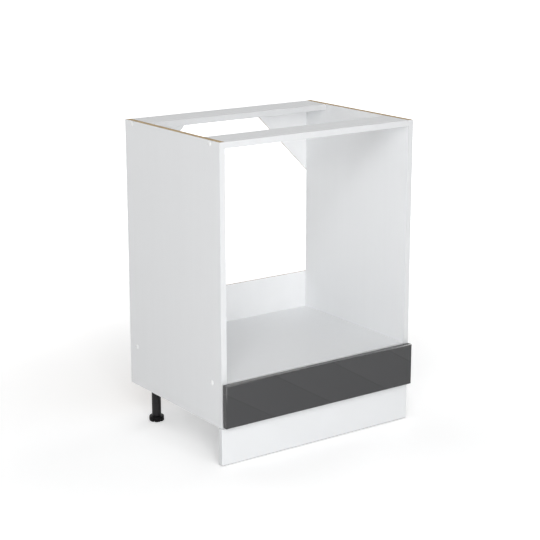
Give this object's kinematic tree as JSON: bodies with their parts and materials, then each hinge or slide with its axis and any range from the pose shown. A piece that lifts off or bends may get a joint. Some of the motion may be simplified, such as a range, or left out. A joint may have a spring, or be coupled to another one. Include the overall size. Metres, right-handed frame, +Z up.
{
  "type": "kitchen base unit",
  "caption": "White base unit for a built-in oven: open cavity and back, shallow drawer with a dark gloss front, clip-on plinth and adjustable black feet.",
  "frame": {"origin": "on the floor, in the middle of the unit's outer box", "axes": "+Z up, +X to the right of someone who faces the front, the front looks towards -Y"},
  "size_m": [0.6044, 0.46, 0.816],
  "materials": {
    "white_board": "chipboard with a fine-grained white melamine face, top edges raw",
    "plinth_board": "chipboard with a smooth white melamine face",
    "drawer_board": "chipboard with a fine-grained white melamine face",
    "white_band": "smooth white edging, satin",
    "white_hardboard": "hardboard, lacquered white on the seen face, brown behind",
    "drawer_hardboard": "hardboard, lacquered white on top, brown below",
    "dark_gloss_board": "high-gloss dark grey foil on fibreboard",
    "black_plastic": "moulded polypropylene, slightly satin",
    "white_plastic": "moulded, glossy white",
    "white_steel": "powder-coated cream white",
    "zinc_steel": "bright zinc plating",
    "nylon": "natural nylon, satin",
    "beech": "raw fluted beech",
    "clear_silicone": "translucent, soft"
  },
  "bodies": {
    "carcass": {"side_panel_left": "white_board", "side_panel_right": "white_board", "base_panel": "white_board", "oven_shelf": "white_board", "top_rail_front": "white_board", "top_rail_rear": "white_board", "edge_bands": "white_band", "back_strip": "white_hardboard", "back_gusset_left": "white_hardboard", "back_gusset_right": "white_hardboard", "confirmat_screws": "zinc_steel", "base_screws": "zinc_steel", "wood_dowels": "beech", "back_nails": "zinc_steel", "screw_caps": "white_plastic", "foot_socket_front_left": "black_plastic", "foot_socket_front_right": "black_plastic", "foot_socket_rear_left": "black_plastic", "foot_socket_rear_right": "black_plastic", "foot_tubes": "black_plastic", "foot_socket_screws": "zinc_steel", "runner_cabinet_left": "white_steel", "runner_cabinet_right": "white_steel", "runner_cabinet_screws": "zinc_steel", "front_roller_pins": "zinc_steel"},
    "drawer": {"drawer_front": "dark_gloss_board", "drawer_side_left": "drawer_board", "drawer_side_right": "drawer_board", "drawer_back": "drawer_board", "drawer_bottom": "drawer_hardboard", "drawer_edge_bands": "white_band", "drawer_cams": "zinc_steel", "drawer_cam_bolts": "zinc_steel", "drawer_dowels": "beech", "drawer_screws": "zinc_steel", "drawer_bumpers": "clear_silicone", "runner_drawer_left": "white_steel", "runner_drawer_right": "white_steel", "runner_drawer_screws": "zinc_steel", "rear_roller_pins": "zinc_steel"},
    "front_rollers": {"front_rollers": "nylon"},
    "rear_rollers": {"rear_rollers": "nylon"},
    "plinth": {"plinth_panel": "plinth_board", "plinth_clip_left": "black_plastic", "plinth_clip_right": "black_plastic", "plinth_clip_screws": "zinc_steel"},
    "foot_front_left": {"foot_base_front_left": "black_plastic"},
    "foot_front_right": {"foot_base_front_right": "black_plastic"},
    "foot_rear_left": {"foot_base_rear_left": "black_plastic"},
    "foot_rear_right": {"foot_base_rear_right": "black_plastic"}
  },
  "joints": [
    {"name": "drawer_slide", "type": "slide", "parent": "carcass", "child": "drawer", "axis": [0, -1, 0], "range_m": [0, 0.3]},
    {"name": "front_roller_spin", "type": "hinge", "parent": "carcass", "child": "front_rollers", "pos_m": [0, -0.197, 0.1332], "axis": [1, 0, 0], "range_deg": [0, 1760]},
    {"name": "rear_roller_spin", "type": "hinge", "parent": "drawer", "child": "rear_rollers", "pos_m": [0, 0.178, 0.1332], "axis": [1, 0, 0], "range_deg": [0, 1500]},
    {"name": "plinth_pull", "type": "slide", "parent": "carcass", "child": "plinth", "axis": [0, -1, 0], "range_m": [0, 0.1]},
    {"name": "foot_front_left_height", "type": "slide", "parent": "carcass", "child": "foot_front_left", "axis": [0, 0, -1], "range_m": [0, 0.02]},
    {"name": "foot_front_right_height", "type": "slide", "parent": "carcass", "child": "foot_front_right", "axis": [0, 0, -1], "range_m": [0, 0.02]},
    {"name": "foot_rear_left_height", "type": "slide", "parent": "carcass", "child": "foot_rear_left", "axis": [0, 0, -1], "range_m": [0, 0.02]},
    {"name": "foot_rear_right_height", "type": "slide", "parent": "carcass", "child": "foot_rear_right", "axis": [0, 0, -1], "range_m": [0, 0.02]}
  ],
  "couplings": [
    {"joint": "front_roller_spin", "follows": "drawer_slide", "rad_per_m": 100},
    {"joint": "rear_roller_spin", "follows": "drawer_slide", "rad_per_m": 85.47}
  ]
}
